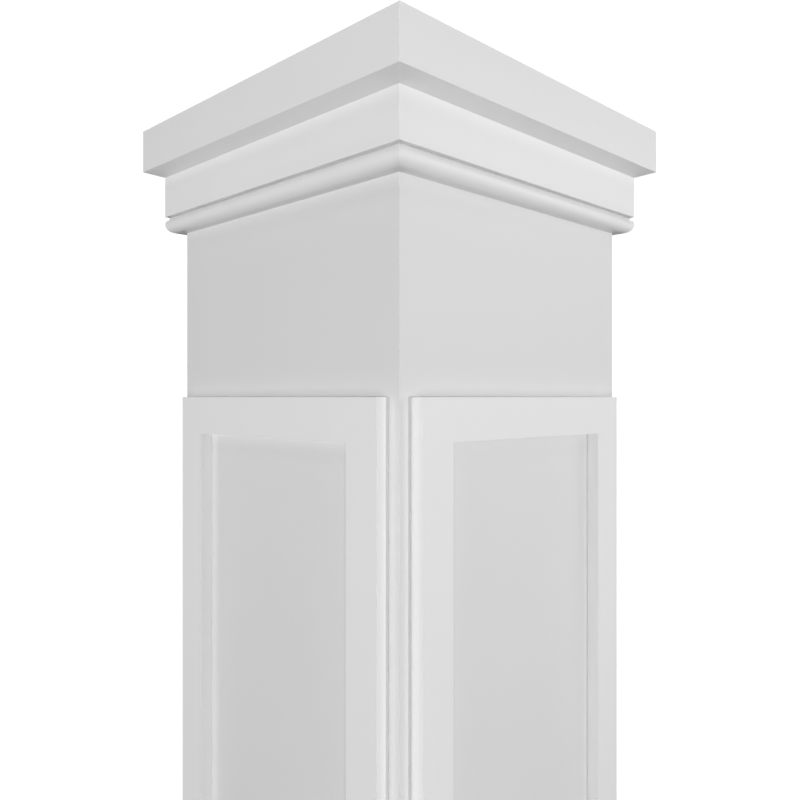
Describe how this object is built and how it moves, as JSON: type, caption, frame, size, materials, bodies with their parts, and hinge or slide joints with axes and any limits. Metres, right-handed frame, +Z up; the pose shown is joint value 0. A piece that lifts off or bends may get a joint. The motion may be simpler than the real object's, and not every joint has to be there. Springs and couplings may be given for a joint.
{
  "type": "square column",
  "caption": "Hollow square box column with a stepped, beaded capital, applied rectangular panel frames on every face and a plain plinth, made to wrap a structural post.",
  "frame": {"origin": "middle of the underside, which the column stands on", "axes": "+Z up the column's axis; -Y is the front face, +X the right face, +Y the back face, -X the left face"},
  "size_m": [0.2952, 0.2952, 2.4384],
  "materials": {
    "shaft_board": "smooth white cellular PVC board, satin-matt",
    "panel_frame": "smooth white cellular PVC sheet, satin-matt, square sawn arrises",
    "cap_board": "smooth white cellular PVC board, satin-matt",
    "capital_band": "smooth white cellular PVC board, satin-matt",
    "capital_bead": "smooth white milled PVC moulding, satin",
    "plinth_board": "smooth white cellular PVC board, satin-matt",
    "base_bead": "smooth white milled PVC moulding, satin"
  },
  "bodies": {
    "root": {"shaft_board_front": "shaft_board", "shaft_board_right": "shaft_board", "shaft_board_back": "shaft_board", "shaft_board_left": "shaft_board", "panel_frame_front": "panel_frame", "panel_frame_right": "panel_frame", "panel_frame_back": "panel_frame", "panel_frame_left": "panel_frame", "cap_board_front": "cap_board", "cap_board_right": "cap_board", "cap_board_back": "cap_board", "cap_board_left": "cap_board", "capital_band_front": "capital_band", "capital_band_right": "capital_band", "capital_band_back": "capital_band", "capital_band_left": "capital_band", "capital_bead_front": "capital_bead", "capital_bead_right": "capital_bead", "capital_bead_back": "capital_bead", "capital_bead_left": "capital_bead", "plinth_board_front": "plinth_board", "plinth_board_right": "plinth_board", "plinth_board_back": "plinth_board", "plinth_board_left": "plinth_board", "base_bead_front": "base_bead", "base_bead_right": "base_bead", "base_bead_back": "base_bead", "base_bead_left": "base_bead"}
  },
  "joints": []
}
